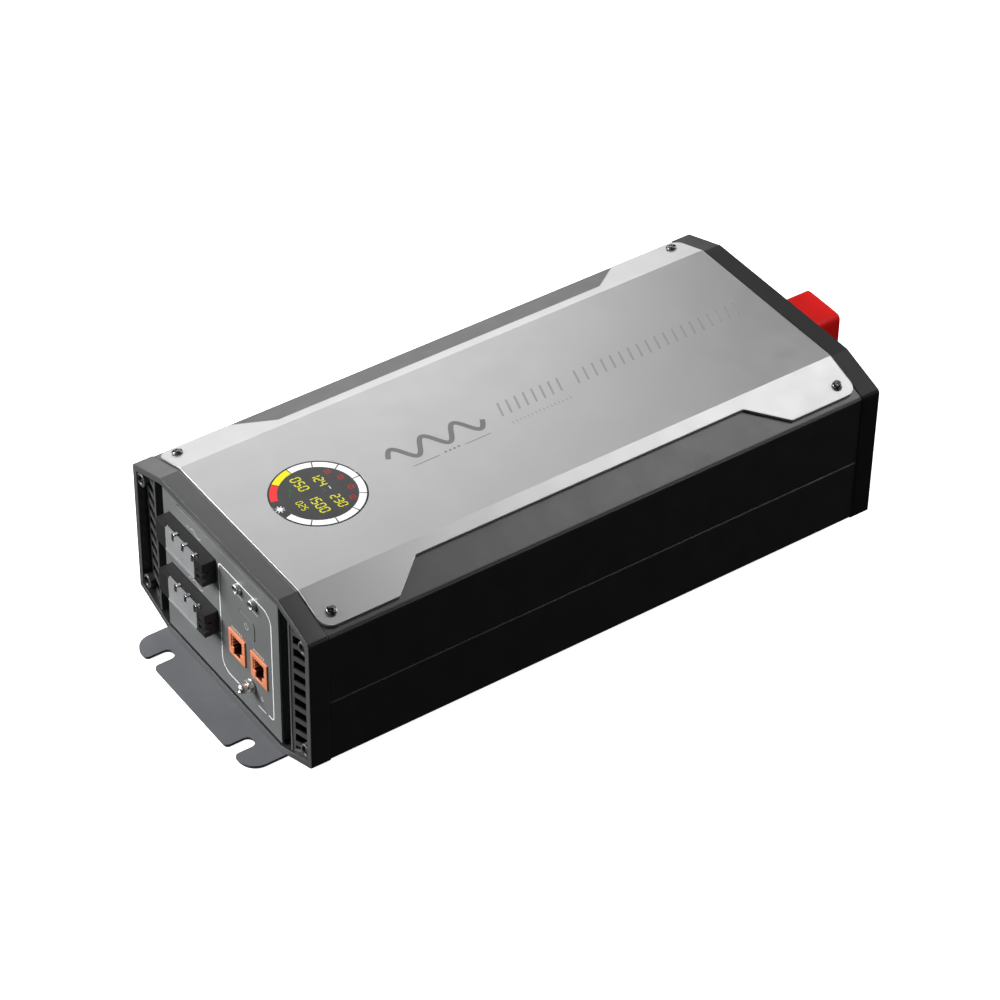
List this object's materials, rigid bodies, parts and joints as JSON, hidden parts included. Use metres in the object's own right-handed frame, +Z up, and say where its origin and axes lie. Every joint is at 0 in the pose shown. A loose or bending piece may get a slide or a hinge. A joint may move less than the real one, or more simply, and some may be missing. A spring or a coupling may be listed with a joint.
{
  "type": "power inverter",
  "caption": "Octagonal black inverter case with a silver top cover, round display, slotted mounting flanges, front terminals and rear battery caps.",
  "frame": {"origin": "middle of the base plate's underside", "axes": "+Y from the front panel to the rear fans, along the case; +Z up; +X to the right seen from the front panel"},
  "size_m": [0.2, 0.486, 0.1266],
  "materials": {
    "case_black": "fine-textured matt black powder coat",
    "cover_silver": "fine satin anodised silver sheet with bright cut edges",
    "screw_steel": "dark zinc-plated cross-recess screws",
    "plate_grey": "fine-textured dark grey powder coat",
    "bezel_black": "moulded charcoal plastic, fine spark texture",
    "panel_grey": "satin dark grey panel with a white printed outline",
    "terminal_black": "moulded black plastic",
    "terminal_clear": "smoky clear plastic",
    "bright_metal": "bright nickel plate",
    "jack_orange": "moulded orange plastic",
    "display_glass": "glossy black window with coloured display segments",
    "fan_black": "moulded black plastic",
    "guard_wire": "nickel-plated wire",
    "stud_brass": "machined brass",
    "cap_red": "moulded red insulating rubber",
    "cap_black": "moulded black insulating rubber",
    "board_green": "green circuit board laminate",
    "heatsink_metal": "extruded aluminium fins",
    "ferrite": "dark ferrite core with taped winding",
    "capacitor_sleeve": "dark blue heat-shrink sleeve"
  },
  "bodies": {
    "chassis": {"lower_tray": "case_black", "upper_shell": "case_black", "top_cover": "cover_silver", "cover_screw_front_left": "screw_steel", "cover_screw_front_right": "screw_steel", "cover_screw_rear_left": "screw_steel", "cover_screw_rear_right": "screw_steel", "bezel_screw_front_lower_left": "screw_steel", "bezel_screw_front_lower_right": "screw_steel", "bezel_screw_front_upper_left": "screw_steel", "bezel_screw_front_upper_right": "screw_steel", "bezel_screw_rear_lower_left": "screw_steel", "bezel_screw_rear_lower_right": "screw_steel", "bezel_screw_rear_upper_left": "screw_steel", "bezel_screw_rear_upper_right": "screw_steel", "base_plate": "plate_grey", "front_bezel": "bezel_black", "rear_bezel": "bezel_black", "front_vent_left": "bezel_black", "front_vent_right": "bezel_black", "rear_panel": "bezel_black", "front_panel": "panel_grey", "ac_terminal_block_upper": "terminal_black", "ac_terminal_block_lower": "terminal_black", "ac_terminal_screw_upper_1": "bright_metal", "ac_terminal_screw_upper_2": "bright_metal", "ac_terminal_screw_upper_3": "bright_metal", "ac_terminal_screw_lower_1": "bright_metal", "ac_terminal_screw_lower_2": "bright_metal", "ac_terminal_screw_lower_3": "bright_metal", "status_led_left": "bright_metal", "status_led_right": "bright_metal", "ground_screw": "bright_metal", "ground_nut": "bright_metal", "network_jack_left": "jack_orange", "network_jack_right": "jack_orange", "display_window": "display_glass", "display_module": "fan_black", "fan_frame_left": "fan_black", "fan_frame_right": "fan_black", "battery_insulator": "fan_black", "fan_guard_left": "guard_wire", "fan_guard_right": "guard_wire", "battery_stud_positive": "stud_brass", "battery_stud_negative": "stud_brass", "main_board": "board_green", "control_board": "board_green", "heatsink_left": "heatsink_metal", "heatsink_right": "heatsink_metal", "transformer_front": "ferrite", "transformer_rear": "ferrite", "bus_capacitor_front": "capacitor_sleeve", "bus_capacitor_rear": "capacitor_sleeve"},
    "power_button": {"power_button": "panel_grey"},
    "ac_lid_upper": {"ac_terminal_lid_upper": "terminal_clear"},
    "ac_lid_lower": {"ac_terminal_lid_lower": "terminal_clear"},
    "fan_left": {"fan_rotor_left": "fan_black"},
    "fan_right": {"fan_rotor_right": "fan_black"},
    "cap_positive": {"battery_cap_positive": "cap_red"},
    "cap_negative": {"battery_cap_negative": "cap_black"}
  },
  "joints": [
    {"name": "power_button_press", "type": "slide", "parent": "chassis", "child": "power_button", "axis": [0, 1, 0], "range_m": [0, 0.0015], "stiffness_N_per_m": 400, "springref_m": -0.0005},
    {"name": "ac_lid_upper_hinge", "type": "hinge", "parent": "chassis", "child": "ac_lid_upper", "pos_m": [-0.0315, -0.2193, 0.1039], "axis": [-1, 0, 0], "range_deg": [0, 95]},
    {"name": "ac_lid_lower_hinge", "type": "hinge", "parent": "chassis", "child": "ac_lid_lower", "pos_m": [-0.0315, -0.2193, 0.063], "axis": [-1, 0, 0], "range_deg": [0, 95]},
    {"name": "fan_left_spin", "type": "hinge", "parent": "chassis", "child": "fan_left", "pos_m": [-0.058, 0.1996, 0.0638], "axis": [0, 1, 0], "continuous": true},
    {"name": "fan_right_spin", "type": "hinge", "parent": "chassis", "child": "fan_right", "pos_m": [0.058, 0.1996, 0.0638], "axis": [0, 1, 0], "continuous": true},
    {"name": "cap_positive_pull", "type": "slide", "parent": "chassis", "child": "cap_positive", "axis": [0, 1, 0], "range_m": [0, 0.035]},
    {"name": "cap_negative_pull", "type": "slide", "parent": "chassis", "child": "cap_negative", "axis": [0, 1, 0], "range_m": [0, 0.035]}
  ]
}
